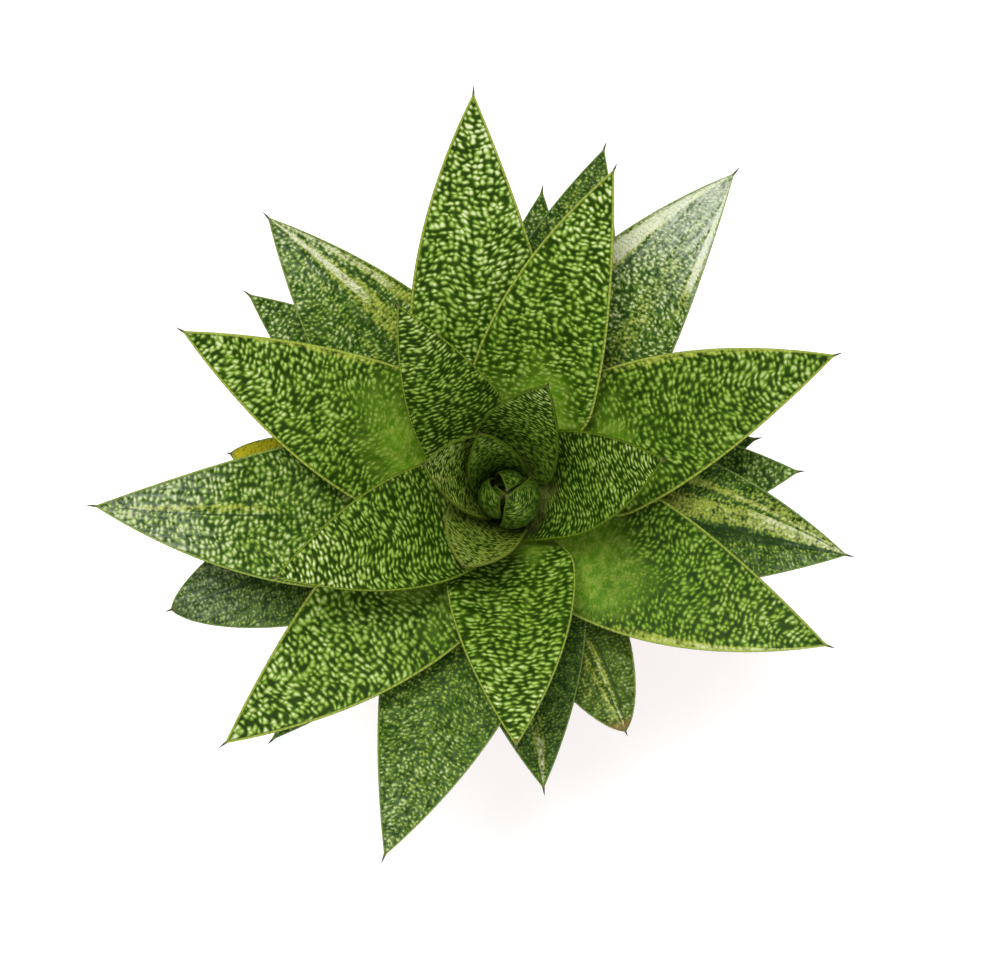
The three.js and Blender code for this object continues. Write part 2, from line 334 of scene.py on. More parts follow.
def tube_mesh(name, grid, numbers=None, surface=None):
    """A mesh of a closed tube. grid is rings x sides x 3 in millimetres. numbers has a name for each
    attribute and its values, and surface has the two coordinates of a UV map, along and across."""
    mesh = bpy.data.meshes.new(name)
    mesh.from_pydata((with_ends(grid) * MM).tolist(), [], tube_faces(*grid.shape[:2]))
    for label, values in (numbers or {}).items():
        layer = mesh.attributes.new(label, "FLOAT", "POINT")
        values = np.broadcast_to(values, grid.shape[:2])
        layer.data.foreach_set("value", with_ends(values).astype(np.float32))
    if surface is not None:
        both = with_ends(np.stack(np.broadcast_arrays(*surface), -1))
        corners = np.zeros(len(mesh.loops), dtype=np.int32)
        mesh.loops.foreach_get("vertex_index", corners)
        layer = mesh.uv_layers.new(name="blade")
        layer.data.foreach_set("uv", both[corners].astype(np.float32).ravel())
    return mesh


# %% [markdown]
# ## The leaves, one row each
#
# Gasteria leaves stand in a spiral, the oldest lowest. A formula could place them, but leaves that have
# grown towards the light don't keep to one, so each has a row of its own. It says where the leaf points,
# how far it reaches from the stem's axis, how high its foot is and how far its tip is lifted, how steeply
# it sets out, how wide it is, how its midrib bows and how far it wraps round the axis. The rows are those
# of the construction, so that a fine leaf lies exactly in its plain solid.

# %% Sizes of the leaves and the stem
GAP = 0.3  # between one piece and the next
STEM_RADIUS = 8.5
STEM_SHOULDER = 88.0  # height where the stem's dome begins
STEM_TOP = 97.5
RIM_THICKNESS = 0.45  # rounded off from the plain solid's 0.8
BLADE_THICKNESS = 4.4
THIN_FOOT = 0.35  # thickness of the foot as a share of the blade's
FULL_AT = 0.45  # share of the length where the blade is at its thickest
FOOT_SHARE = 0.32  # width of the foot as a share of the blade's
WIDEST_AT = 0.25  # share of the length where the blade is at its widest
CHANNEL = 0.006  # how much the upper face turns up for each millimetre across, in radians


# %% Rows of the leaves
def row(azimuth, reach, base, lift, rise, width, bow, clasp, **rest):
    """One leaf's measures. The rest: a foot wider than usual, a thinner blade, a foot that starts at
    another radius than the stem's, or a blunt tip."""
    usual = {"foot": FOOT_SHARE, "thick": BLADE_THICKNESS, "start": None, "blunt": False}
    return SimpleNamespace(
        azimuth=math.radians(azimuth), reach=reach, base=base, lift=lift, rise=math.radians(rise),
        width=width, bow=bow, clasp=clasp, **{**usual, **rest},
    )


LEAVES = [
    row(226.5, 73.5, 68, 12, 20, 25, 0, 0.1),
    row(12.5, 56, 68, 12, 20, 24, 0, 0.1),
    row(171.5, 60, 70.5, 12, 18, 19, 0.5, 0.1, blunt=True),
    row(83, 66.5, 68, 12, 20, 25, 0, 0.1),
    row(4.5, 63.5, 74.5, 11, 16, 28, 0, 0.1),
    row(142, 70, 75.5, 11, 15, 27, 0, 0.1),
    row(297, 57, 76.5, 10, 14, 23, 0.5, 0.1, blunt=True),
    row(199, 75.5, 78, 11, 14, 29, 0, 0.1, blunt=True),
    row(277.5, 63, 81.5, 11, 15, 29, 0, 0.1),
    row(74, 77, 77.5, 12, 15, 31, 0.5, 0.1),
    row(350, 73.5, 83, 13, 16, 33, 1, 0.1),
    row(251.5, 80, 86, 14, 17, 33, 1, 0.1),
    row(54.5, 83, 84.5, 16, 18, 32.5, 2.5, 0.1),
    row(130.5, 76.5, 86, 16, 18, 32, -0.5, 0.1),
    row(181.5, 85.5, 88, 18, 20, 34, 3, 0.12),
    row(335, 74, 85, 22, 24, 31, -2, 0.15),
    row(221.5, 77, 90.5, 22, 24, 32, 1.5, 0.15),
    row(23, 74, 87.5, 24, 26, 30.5, 1.5, 0.15),
    row(94.5, 83, 88.5, 24, 26, 31.5, 2.5, 0.15),
    row(153, 74, 92, 25, 28, 30, 0.5, 0.15),
    row(71.5, 70, 91.5, 27, 30, 27, 2, 0.15),
    row(119.5, 44, 93.5, 32, 48, 20.5, 0.5, 0.3),
    row(272.5, 50.5, 92, 32, 46, 27.5, 0.5, 0.3),
    row(199.5, 49, 95, 33, 48, 26, 0.5, 0.7, foot=0.8, start=7.4),
    row(13, 32.5, 93.5, 34, 58, 24, -0.4, 0.7, foot=1.12, start=7.3),
    row(69, 23.5, 95.5, 36, 68, 20, 1.5, 0.8, foot=0.6, thick=3, start=6.6),
    row(239.5, 16.3, 97, 32, 72, 17.5, -0.8, 0.7, foot=1, thick=2.6, start=7),
    row(159, 17.5, 97.4, 32, 72, 19, -2, 0.9, foot=0.9, thick=2.6, start=5.4),
    row(112, 13.5, 98, 28, 76, 13.5, 0, 0.9, foot=0.5, thick=2.4, start=4),
    row(329, -0.1, 98, 24.5, 74, 15, 0, 1, foot=0.5, thick=1.6, start=5.5),
    row(201, 0.8, 98, 22.5, 67, 11, 0, 1, foot=0.5, thick=1.4, start=2.8),
    row(69, 0.8, 98.5, 20.3, 52, 7, 0, 1, foot=0.5, thick=0.9, start=2),
    row(183, -1.2, 99.3, 17, 48, 5, 0, 1, foot=0.5, thick=0.8, start=0.2),
]
FURLED = 4  # the last leaves, which make the bud
print(f"{len(LEAVES)} leaves, {FURLED} of them furled in the bud")

# %% [markdown]
# ## How a leaf is marked
#
# The spots are small warts, pale on a dark green ground. They stand in wavy rows across the leaf and run
# together into bars on young leaves. Towards the foot they fade into plain bright green. The same finish
# could serve all leaves alike, but no two real ones are, so each leaf has a row of marks:
#
# - `tone` from 0 for the youngest leaf to 1 for the oldest sets the colours of ground, foot and margin, and
#   `pale` the colour of the spots, from leaf green to cream
# - `space` is the distance between rows in millimetres, and `bar` how much further apart spots stand in a
#   row
# - `plain` is the share of the length that is free of spots, and `side` tilts its border across the leaf
# - `bold` is how strongly the spots stand out
# - a band is a place across the blade from -1 to 1, half its width, the share of the length where it
#   starts, and its strength: below 0 it is a dark strip of painted shade along a crease, up to 1 yellow
#   turning to cream, and up to 2 a white streak of painted highlight. A very wide band tints the whole
#   blade, and one at -1 or 1 runs along the margin
# - `ridge` is the place of a fold along the blade, and `bloom` the strength of the silvery sheen,
#   a painted reflection, towards the tip
# - `sere` is how yellow an old leaf has become, and `dry` the length of its withered tip in millimetres
# - `hem` is the width of its pale margin in millimetres

# %% Marks of each leaf
def marks(tone, pale, space=1.1, bar=1.1, plain=0.1, side=0.0, bold=1.0, **rest):
    """One leaf's marks. The rest are those that few leaves have."""
    usual = {"bands": (), "ridge": None, "bloom": 0.0, "sere": 0.0, "dry": 0.0, "hem": 0.4}
    return SimpleNamespace(
        tone=tone, pale=pale, space=space, bar=bar, plain=plain, side=side, bold=bold, **{**usual, **rest}
    )


MARKS = [
    marks(1.0, 0.45, 1.0, bold=0.7),
    marks(1.0, 0.35, 1.0, bold=0.7),
    marks(1.0, 0.3, 1.0, bold=0.3, sere=1.5),
    marks(0.9, 0.4, 0.95, bold=0.7),
    marks(0.9, 0.35, 0.95, bold=0.8),
    marks(0.9, 0.5, 1.0, bold=0.85),
    marks(0.8, 0.36, 0.8, bold=0.5, sere=0.04, dry=1.5, ridge=0.2, bloom=0.12,
          bands=[(0.12, 0.08, 0.0, 0.8), (-0.12, 0.08, 0.0, 0.7), (-0.5, 0.3, 0.45, 0.25),
                 (0.25, 0.1, 0.45, -1.0)]),
    marks(1.0, 0.46, 0.85, bold=0.5, ridge=0.0, bloom=0.2,
          bands=[(0.0, 0.06, 0.3, -1.0), (-0.35, 0.07, 0.55, -0.7), (-0.9, 0.14, 0.3, 0.45),
                 (0.85, 0.12, 0.5, 0.25)]),
    marks(1.0, 0.25, 0.75, bold=0.5, bands=[(0.1, 0.3, 0.62, 0.75)]),
    marks(1.0, 0.4, 0.8, bold=0.6, ridge=0.1, bands=[(0.1, 0.12, 0.3, -0.8), (0.6, 0.2, 0.3, 0.3)]),
    marks(0.95, 0.35, 0.85, bold=0.65, ridge=0.05, bloom=0.15,
          bands=[(0.26, 0.24, 0.1, 0.72), (0.62, 0.09, 0.0, 0.75), (0.8, 0.2, 0.55, 0.55),
                 (0.42, 0.12, 0.5, 0.85), (-0.06, 0.16, 0.0, -1.0), (-0.26, 0.05, 0.3, 0.5)]),
    marks(0.85, 0.45, 0.95, plain=0.14, bold=0.75, ridge=0.1, bloom=0.15,
          bands=[(0.02, 0.07, 0.0, 0.35), (0.8, 0.25, 0.7, 0.3)]),
    # This leaf's band of strength 1.5 is a white streak of painted highlight.
    marks(0.75, 0.72, 1.0, bold=0.85, ridge=0.5, bloom=0.62,
          bands=[(0.74, 0.28, 0.42, 1.1), (0.46, 0.03, 0.3, -1.0), (-0.28, 0.22, 0.15, 0.42),
                 (-0.82, 0.14, 0.55, 1.5)]),
    marks(0.7, 0.55, 0.95, bold=0.8, ridge=-0.5, bloom=0.2,
          bands=[(-0.38, 0.3, 0.1, 0.66), (-0.38, 0.16, 0.45, 0.95), (-0.62, 0.035, 0.3, -1.0),
                 (-0.84, 0.14, 0.4, 0.85), (0.15, 0.06, 0.1, 0.5), (-0.08, 0.1, 0.1, -0.6)]),
    marks(0.6, 0.6, 1.15, plain=0.2, bold=0.85, ridge=-0.1, bloom=0.3, hem=0.5,
          bands=[(0.0, 0.04, 0.35, -1.0), (-0.13, 0.12, 0.45, 0.66), (0.3, 0.35, 0.65, 0.3)]),
    marks(0.5, 0.35, 1.15, 1.05, 0.4, 0.1, bold=0.87, hem=0.6, bands=[(-0.93, 0.12, 0.3, 0.8)]),
    marks(0.42, 0.5, 1.25, 1.1, 0.36, bold=0.95, hem=0.6),
    marks(0.4, 0.38, 1.2, 1.1, 0.36, bold=0.87, hem=0.6, bands=[(0.92, 0.09, 0.2, 0.6)]),
    marks(0.42, 0.58, 1.25, 1.05, 0.24, hem=0.6),
    marks(0.4, 0.46, 1.2, 1.05, 0.4, 0.12, bold=0.95, hem=0.6, bands=[(-0.93, 0.09, 0.3, 0.6)]),
    marks(0.4, 0.46, 1.2, 1.1, 0.36, hem=0.6),
    marks(0.3, 0.38, 1.0, 1.4, 0.14),
    marks(0.38, 0.42, 1.05, 1.5, 0.16, dry=1.0),
    marks(0.3, 0.44, 1.05, 1.4, 0.14),
    marks(0.25, 0.36, 0.95, 1.5, 0.14),
    marks(0.18, 0.32, 0.9, 1.5, 0.12),
    marks(0.4, 0.5, 0.8, 1.6, 0.0, bold=1.1, hem=0.3,
          bands=[(0.0, 2.5, -0.25, 0.4), (0.86, 0.14, 0.1, 0.5)]),
    marks(0.3, 0.4, 0.85, 1.5, 0.1, bands=[(0.0, 2.5, -0.25, 0.28), (0.86, 0.14, 0.1, 0.45)]),
    marks(0.15, 0.26, 0.8, 1.4, 0.0, hem=0.3),
    marks(0.2, 0.26, 0.75, 1.3, 0.0, hem=0.3),
    marks(0.15, 0.2, 0.75, 1.3, 0.0, hem=0.3),
    marks(0.15, 0.22, 0.7, 1.3, 0.0, hem=0.3),
    marks(0.1, 0.1, 0.7, 1.3, 0.0, hem=0.3),
]
print(f"{len(MARKS)} sets of marks, tones {min(m.tone for m in MARKS)} to {max(m.tone for m in MARKS)}")


# %% [markdown]
# ## The shape of a leaf
#
# A leaf of this plant is a thick tongue, hollow above, full below and pointed. It could be sculpted, or
# drawn out of a cylinder by hand, but 33 leaves that overlap without touching are better worked out. The
# midrib is a quadratic arc in the leaf's own upright plane, and an outline gives the blade's width at each
# place along it.

# %% Midrib and outline
KNEE_SHARE = 0.45  # from the foot to the arc's knee, as a share of the straight line from foot to tip


def midrib(leaf, t):
    """Points and directions of the arc: (1-t)^2 foot + 2t(1-t) knee + t^2 tip, and its derivative made one
    unit long. The arc is worked out as radius, side and height, then turned to the leaf's azimuth."""
    dome = np.clip((leaf.base - STEM_SHOULDER) / (STEM_TOP - STEM_SHOULDER), 0, 1)
    start = leaf.start if leaf.start is not None else STEM_RADIUS * math.sqrt(1 - dome * dome) + GAP
    handle = KNEE_SHARE * math.hypot(leaf.reach - start, leaf.lift)
    foot = np.array([start, 0, leaf.base])
    knee = foot + [handle * math.cos(leaf.rise), 2 * leaf.bow, handle * math.sin(leaf.rise)]
    tip = np.array([leaf.reach, 0, leaf.base + leaf.lift])
    t = t[:, None]
    points = (1 - t) ** 2 * foot + 2 * t * (1 - t) * knee + t ** 2 * tip
    ahead = (1 - t) * (knee - foot) + t * (tip - knee)
    ahead /= np.linalg.norm(ahead, axis=1, keepdims=True)
    c, s = math.cos(leaf.azimuth), math.sin(leaf.azimuth)
    turn = np.array([[c, s, 0], [-s, c, 0], [0, 0, 1]])
    return points @ turn, ahead @ turn


def outline(leaf, t):
    """Share of the widest half width. Before the widest place it is 1 - (1 - foot) back^1.8. After it, it is
    1 - out^1.9 for a pointed leaf and (1 - out^2.4)^0.7 for a blunt one."""
    back = np.clip((WIDEST_AT - t) / WIDEST_AT, 0, 1)
    out = np.clip((t - WIDEST_AT) / (1 - WIDEST_AT), 0, 1)
    ahead = (1 - out ** 2.4) ** 0.7 if leaf.blunt else 1 - out ** 1.9
    return np.where(t < WIDEST_AT, 1 - (1 - leaf.foot) * back ** 1.8, ahead)


# %% [markdown]
# A section is a ring of points round the blade. Each point has two numbers: v runs across the blade from -1
# to 1, and q is 0 on the upper face and 1 on the lower, with a few values between where the margin turns
# over.

# %% Places round a section and along the blade
MARGIN_TURN = np.array([0.2, 0.5, 0.8])  # the values of q on the rounded margin
SPINE_HALF = 0.24  # half the blade's width where its spine begins


def section_places(leaf, step):
    """v and q round a section. Even places e from 1 to -1 are moved to e (1.2 - 0.2 e^2), closer together
    near the margins, and the lower face has fewer of them."""
    def row_of(step):
        """One face's places from 1 to -1."""
        even = np.linspace(1, -1, max(9, round(leaf.width / step)))
        return even * (1.2 - 0.2 * even ** 2)

    upper, lower = row_of(step), -row_of(1.4 * step)
    v = np.concatenate([upper, -np.ones(3), lower, np.ones(3)])
    q = np.concatenate([0 * upper, MARGIN_TURN, 1 + 0 * lower, 1 - MARGIN_TURN])
    return v[None, :], q[None, :]


def blade_lines(leaf, step):
    """Everything that is laid out before the surface: the share t of the arc, the midrib's points and its
    three directions, the distance gone along it, half the blade's width, and the places round a section."""
    chord = math.hypot(leaf.reach, leaf.lift)
    t = np.linspace(0, 1, max(24, round(chord / step)))
    centre, ahead = midrib(leaf, t)
    gone = np.cumsum(np.linalg.norm(np.diff(centre, axis=0), axis=1))
    aside = np.array([-math.sin(leaf.azimuth), math.cos(leaf.azimuth), 0])
    up = np.cross(ahead, aside)
    up /= np.linalg.norm(up, axis=1, keepdims=True)
    half = np.maximum(0.5 * leaf.width * outline(leaf, t), SPINE_HALF)
    v, q = section_places(leaf, step)
    return SimpleNamespace(
        t=t[:, None], centre=centre, ahead=ahead, up=up, sidewise=np.cross(up, ahead),
        along=np.concatenate([[0], gone])[:, None], half=half[:, None], v=v, q=q,
    )


lengths = [blade_lines(leaf, 1.0).along[-1, 0] for leaf in LEAVES]
print(f"midribs {min(lengths):.0f} to {max(lengths):.0f} mm long")

# %% [markdown]
# The upper face is a shallow channel and the lower a fuller curve. A fine bead runs along the margin, with
# teeth on it that are felt more than seen, and some leaves have a fold along the blade. The last ring is
# carried on into a small hooked spine.

# %% Leaf surface
FOLD_DEPTH = 0.5
BEAD_HEIGHT = 0.08
BEAD_WIDTH = 0.3
TOOTH_PITCH = 1.2
TOOTH_SWING = 0.03  # how far a tooth stands out from the bulge of the margin, and a gap lies back
MARGIN_BULGE = 0.05
CROWN_BELOW = 2.8  # half width under which the channel fills up, so that the spine is round
SPINE_THICKNESS = 0.5
SPINE_SHARE = 0.05  # length of the spine as a share of the leaf's width
SPINE_HOOK = 0.3  # rise of its point as a share of its length
SPINE_STEPS = np.linspace(0, 1, 7)[1:]


def fold(mark, blade):
    """Depth of the furrows on both sides of the ridge: half a sine wave from the ridge to each margin,
    which starts a little way up the blade and dies out where the blade is narrow."""
    if mark.ridge is None:
        return 0.0
    one_side = (blade.v - mark.ridge) / (1 - mark.ridge)
    other_side = (mark.ridge - blade.v) / (1 + mark.ridge)
    toward = np.clip(np.where(blade.v > mark.ridge, one_side, other_side), 0, 1)
    return FOLD_DEPTH * np.sin(math.pi * toward) * rise(blade.t, 0.1, 0.4) * np.minimum(1, blade.half / 4)


def blade_grid(leaf, mark, blade):
    """Rings of points. Each point has a depth under the section's line, between that of the upper face and
    that of the lower, which is a parabola from the rim to the middle. The line is an arc that turns by
    `bend` for each millimetre across, so the point lies at sin(turn)/bend, (1 - cos(turn))/bend and its
    depth square to that."""
    t, v, q, half = blade.t, blade.v, blade.q, blade.half
    filling = THIN_FOOT + (1 - THIN_FOOT) * rise(t, 0, FULL_AT)
    middle = np.maximum(SPINE_THICKNESS, leaf.thick * np.minimum(filling, half / (0.35 * leaf.width)))
    rim = np.minimum(RIM_THICKNESS, 0.6 * middle)
    crown = 0.2 * middle * np.maximum(0, 1 - half / CROWN_BELOW)
    bead = BEAD_HEIGHT * np.exp(-((1 - np.abs(v)) * half / BEAD_WIDTH) ** 2)
    above = -crown * (1 - v * v) + fold(mark, blade) - bead * (q == 0)
    below = rim + (middle - rim) * (1 - v * v)
    depth = lerp(above, below, q)
    teeth = MARGIN_BULGE + TOOTH_SWING * np.sin(2 * math.pi * blade.along / TOOTH_PITCH)
    bulge = np.sign(v) * teeth * np.sin(math.pi * q) * (q > 0) * (q < 1) * np.minimum(1, half / 3)

    from_axis = np.maximum(2, np.hypot(blade.centre[:, 0], blade.centre[:, 1]))[:, None]
    bend = leaf.clasp / from_axis + CHANNEL
    turn = bend * v * half
    sideways = np.sin(turn) / bend + bulge * np.cos(turn) + np.sin(turn) * depth
    upwards = (1 - np.cos(turn)) / bend + bulge * np.sin(turn) - np.cos(turn) * depth
    grid = blade.centre[:, None] + blade.sidewise[:, None] * sideways[..., None]
    return grid + blade.up[:, None] * upwards[..., None]


def with_spine(leaf, blade, grid):
    """The blade's rings and those of the spine: the last ring shrunk by (1 - 0.97 s)^0.8, carried ahead by
    s and raised by s^2."""
    share = SPINE_STEPS[:, None, None]
    reach = SPINE_SHARE * leaf.width
    hook = blade.ahead[-1] * reach * share + np.array([0, 0, SPINE_HOOK * reach]) * share ** 2
    root = grid[-1].mean(axis=0)
    return np.concatenate([grid, root + (grid[-1] - root) * (1 - 0.97 * share) ** 0.8 + hook])


# %% [markdown]
# ## Where the marks lie
#
# The warts are drawn with a net laid over the blade, one wart to a mesh. The geometry says only where on
# the net a point lies, and the finish draws the warts there, so their outlines stay clean however coarse
# the faces are. The other marks are numbers that every point carries in the same way.

# %% Net and bands
ROWS_APART = 50  # rows by which each leaf lies further up the net than the one before it
LOWER_SHIFT = 60.0  # moves the lower face's pattern away from the upper's


def wart_net(along, across, mark, seed):
    """The row and the column of the net at each point. Rows follow the length divided by their distance,
    and wave by sums of sines. Columns follow the width, divided by the same distance times `bar`."""
    phase = np.random.default_rng(seed).random(3) * 2 * math.pi
    wave = 0.7 * np.sin(across / 3.3 + phase[0]) + 0.4 * np.sin(across / 1.9 + along / 5 + phase[1])
    row = (along + wave - 0.12 * np.abs(across)) / mark.space
    column = (across + 0.5 * np.sin(along / 2.6 + phase[2])) / (mark.space * mark.bar)
    return row + ROWS_APART * seed, column


def band_strength(mark, blade):
    """Strength of the bands on the upper face, and of the strongest where they overlap. A band sets in over
    a quarter of the length, and fades over the outer part of its width."""
    band = 0 * blade.v * blade.t
    for place, wide, start, strength in mark.bands:
        there = rise(blade.t, start, start + 0.25) * rise(np.abs(blade.v - place), wide, 0.4 * wide)
        there = there * (blade.q == 0)
        band = np.where(there * abs(strength) > np.abs(band), there * strength, band)
    return band


# %% Numbers for the finish
def leaf_numbers(number, leaf, mark, blade):
    """What the finish reads at each point, and the UV coordinates, in millimetres along and across.

    `edge` is the distance from the margin, counted in hems. `beyond` is the distance past the blade's end,
    and below 0 on the blade. The spine has the other numbers of the blade's last ring."""
    t, v, q, along = blade.t, blade.v, blade.q, blade.along
    across = v * blade.half
    shifted = across + LOWER_SHIFT * q
    cloud = drift(along, across, 5, number) - 0.5
    from_foot = t + mark.side * v + 0.12 * v * v + 0.16 * cloud
    row, column = wart_net(along, shifted, mark, number)

    def to_end(values):
        """The values of the blade's rings, with those of the last ring repeated along the spine."""
        full = np.broadcast_to(values, (len(t), v.size))
        return np.concatenate([full, np.repeat(full[-1:], len(SPINE_STEPS), axis=0)])

    spine = SPINE_SHARE * leaf.width * SPINE_STEPS
    beyond = np.concatenate([along[:, 0] - along[-1, 0], spine])[:, None]
    withered = rise(beyond + to_end(3 * cloud), -mark.dry - 1.5, -mark.dry + 1.5)
    on_blade = {
        "row": row,
        "column": column,
        "spotted": rise(from_foot, 0.45 * mark.plain - 0.05, 1.05 * mark.plain + 0.06),
        "edge": (1 - np.abs(v)) * blade.half / mark.hem * np.where((q > 0) & (q < 1), 0, 1),
        "band": band_strength(mark, blade),
        # Painted sheen towards the tip, on the upper face: a reflection painted into the colour.
        "bloom": mark.bloom * rise(t + 0.1 * cloud, 0.5, 0.95) * (q == 0),
        "pale": mark.pale + 0.3 * rise(t, 0.3, 1) + 0.15 * cloud,
        "under": q,
    }
    numbers = {name: to_end(values) for name, values in on_blade.items()}
    numbers |= {"beyond": beyond, "dry": withered * (mark.dry > 0)}
    numbers |= {"tone": mark.tone, "bold": mark.bold, "sere": mark.sere}
    return numbers, (beyond + along[-1, 0], to_end(shifted))


def leaf_mesh(number, leaf, mark, step):
    """The whole leaf as one closed tube, with what its finish needs to know at every point."""
    blade = blade_lines(leaf, step)
    grid = with_spine(leaf, blade, blade_grid(leaf, mark, blade))
    numbers, surface = leaf_numbers(number, leaf, mark, blade)
    return tube_mesh(f"blade_{number:02d}", grid, numbers, surface)


# %% [markdown]
# ## The finish of a leaf
#
# The spots of the real leaf are low pale warts with a soft edge, on a dark green skin. On young leaves
# those of one row run together into bars, and on old leaves they fray into beads. They could be modelled
# one by one, but there are thousands, so one finish draws them on all leaves. A smooth Voronoi node drops a
# point into each mesh of the net and gives the distance to the nearest, and a wart lies where that distance
# is short.
#
# Four noises keep the drawing from looking ruled. `fine` frays edges, `clump` and `broad` crowd the warts
# in some places and thin them out in others, and `streak` runs along the blade as its veins do.

# %% What the leaf finish reads
LEAF_NUMBERS = (
    "row", "column", "spotted", "edge", "band", "bloom", "pale", "under", "beyond", "dry",
    "tone", "bold", "sere",
)
print(f"{len(LEAF_NUMBERS)} numbers at every point of a leaf")


def leaf_inputs(f):
    """The numbers that every point carries, and the four noises, gathered under one name."""
    place = f.surface_place("blade")
    return SimpleNamespace(
        **{name: f.attribute(name) for name in LEAF_NUMBERS}, place=place,
        fine=f.grain(place, 1.6, 3), clump=f.grain(place, 0.5, 2), broad=f.grain(place, 0.16, 2),
        streak=f.grain(f.surface_place("blade", (0.06, 1.1, 1.0)), 1.0, 2),
    )


# %% Warts
SHAKE = (1.1, 1.1, 0.0)  # how far a slow noise pulls the net about, in meshes


def warts(f, leaf, old):
    """`inside` is above 0 on a wart and grows towards its middle: a reach that is drawn for each wart and
    changed by the noises, less the distance from its point. In a row's middle it is greater, so that
    neighbours meet. `chance` is a second random number of the wart."""
    net = f.node("ShaderNodeCombineXYZ", None, {0: leaf.row, 1: leaf.column})
    shake = f.node("ShaderNodeTexNoise", None, {"Vector": leaf.place, "Scale": 0.35, "Detail": 1.0}, "Color")
    net = f.node("ShaderNodeVectorMath", {"operation": "MULTIPLY_ADD"}, {0: shake, 1: SHAKE, 2: net})
    meshes = {"Vector": net, "Scale": 1.0, "Randomness": 0.82}
    smooth = {"voronoi_dimensions": "2D", "feature": "SMOOTH_F1"}
    away = f.node("ShaderNodeTexVoronoi", smooth, {**meshes, "Smoothness": 0.3}, "Distance")
    draw = f.node("ShaderNodeTexVoronoi", {"voronoi_dimensions": "2D", "feature": "F1"}, meshes, "Color")
    reach = f.node("ShaderNodeSeparateColor", None, {0: draw}, 0)
    chance = f.node("ShaderNodeSeparateColor", None, {0: draw}, 1)
    in_row = ((f.part(net, "X") - 0.1) * (2 * math.pi)).sine() * (0.12 - 0.1 * leaf.tone)
    crowding = 0.7 * (leaf.clump - 0.5) + 0.2 * (leaf.broad - 0.5)
    fray = old * (1.3 * (leaf.fine - 0.5))
    return 0.3 + 0.14 * reach + crowding + in_row - away + fray, chance


# %% [markdown]
# The colours go on in layers: the ground, a deep green that turns bluish with age; the plain bright foot,
# mottled, and brownish on the innermost leaves; and the warts, each with a painted highlight on its
# swollen middle.

# %% Ground, foot and warts
GROUND = [(0.0, tint("1f3801")), (0.4, tint("1c3300")), (0.7, tint("213e08")), (1.0, tint("1a320a"))]
FOOT = [(0.0, tint("54523a")), (0.3, tint("64653c")), (0.4, tint("74a816")), (0.7, tint("557f20")),
        (1.0, tint("37601e"))]
SPOT = [(0.0, tint("3f6410")), (0.3, tint("638722")), (0.6, tint("86a53e")), (0.8, tint("a2b866")),
        (1.0, tint("cdd5a8"))]


def foot_colour(f, leaf):
    """The plain foot with lighter and darker clouds."""
    foot = f.ramp(leaf.tone, FOOT)
    foot = f.mix(leaf.fine.rise(0.4, 0.62) * 0.35 + leaf.clump.rise(0.42, 0.66) * 0.42, foot, tint("abc04e"))
    return f.mix(leaf.clump.rise(0.5, 0.3) * 0.5, foot, tint("467a12"))


def spotted_skin(f, leaf, foot, inside, chance, old):
    """Ground, foot and warts. A wart has a soft edge, softer on an old leaf, and is fainter underneath."""
    skin = f.mix((1 - leaf.spotted) * (0.82 + 0.25 * (leaf.fine - 0.5)), f.ramp(leaf.tone, GROUND), foot)
    skin = f.mix(inside.rise(-0.35, 0.0) * 0.1 + leaf.broad.rise(0.4, 0.75) * 0.07, skin, foot)
    skin = f.mix(old * leaf.clump.rise(0.35, 0.7) * 0.35, skin, tint("5d7b45"))
    # Each wart is painted paler towards its middle: a painted highlight where light falls on its dome.
    dome_highlight = inside.rise(-0.05, 0.32)
    paleness = leaf.pale + 0.5 * (dome_highlight - 0.6) + 0.2 * (chance - 0.5) + 0.3 * (leaf.broad - 0.5)
    patch = inside.rise(-0.2 - 0.12 * old, 0.14 + 0.12 * old)
    patch = patch * leaf.edge.rise(0.6, 1.5) * leaf.spotted * leaf.bold
    return f.mix(patch * (1 - 0.3 * leaf.under), skin, f.ramp(paleness, SPOT))


# %% [markdown]
# Then come the marks of single leaves: bands, which are mottled stripes from yellow through cream, with
# white streaks of painted highlight, and dark strips of painted shade where a blade is creased; a silvery
# sheen towards the tip, which is a painted reflection; and the yellow of a leaf that dries up. Last are
# the margin, a thin bright line dotted by its teeth, the withered tips and the brown spine.

# %% Bands and painted sheen
def banded(f, leaf, skin, foot, inside):
    """A band shows where its strength, roughened by the noises and the warts, is high enough."""
    mottle = (leaf.fine - 0.5) + 0.6 * (leaf.clump - 0.5)
    veil = leaf.band + 0.6 * inside + 0.8 * (leaf.streak - 0.5) + 0.8 * mottle
    turning = 1.6 * leaf.band - 0.9 + 0.012 * leaf.beyond + mottle
    cream = f.mix(turning.rise(-0.1, 0.5), tint("a8b548"), tint("d9dcb4"))
    skin = f.mix(veil.rise(0.16, 1.0) * leaf.band.rise(0.02, 0.15) * 0.92, skin, cream)
    # Where a band is strong it turns white: a painted highlight along the blade.
    skin = f.mix(veil.rise(1.2, 1.6) * 0.85, skin, tint("e4e8dc"))
    # A band below 0 darkens the skin: painted shade along a crease.
    skin = f.mix(leaf.band.rise(-0.1, -1.0) * 0.8, skin, tint("1b3512"))
    skin = f.mix(leaf.streak.rise(0.5, 0.75) * 0.1, skin, foot)
    # Silvery sheen towards the tip of old leaves: a painted reflection.
    sheen_amount = leaf.bloom * (0.8 + 2.0 * (leaf.streak - 0.5) + 1.6 * mottle)
    skin = f.mix(sheen_amount.rise(0.05, 0.7) * 0.75, skin, tint("d0d9c6"))
    return f.mix(leaf.sere * (0.5 + 0.5 * leaf.broad), skin, tint("b9b020"))


# %% Margin and tip
MARGIN = [(0.0, tint("5c7a1e")), (0.25, tint("6f8c1c")), (0.4, tint("a0b146")), (1.0, tint("7f9a4e"))]


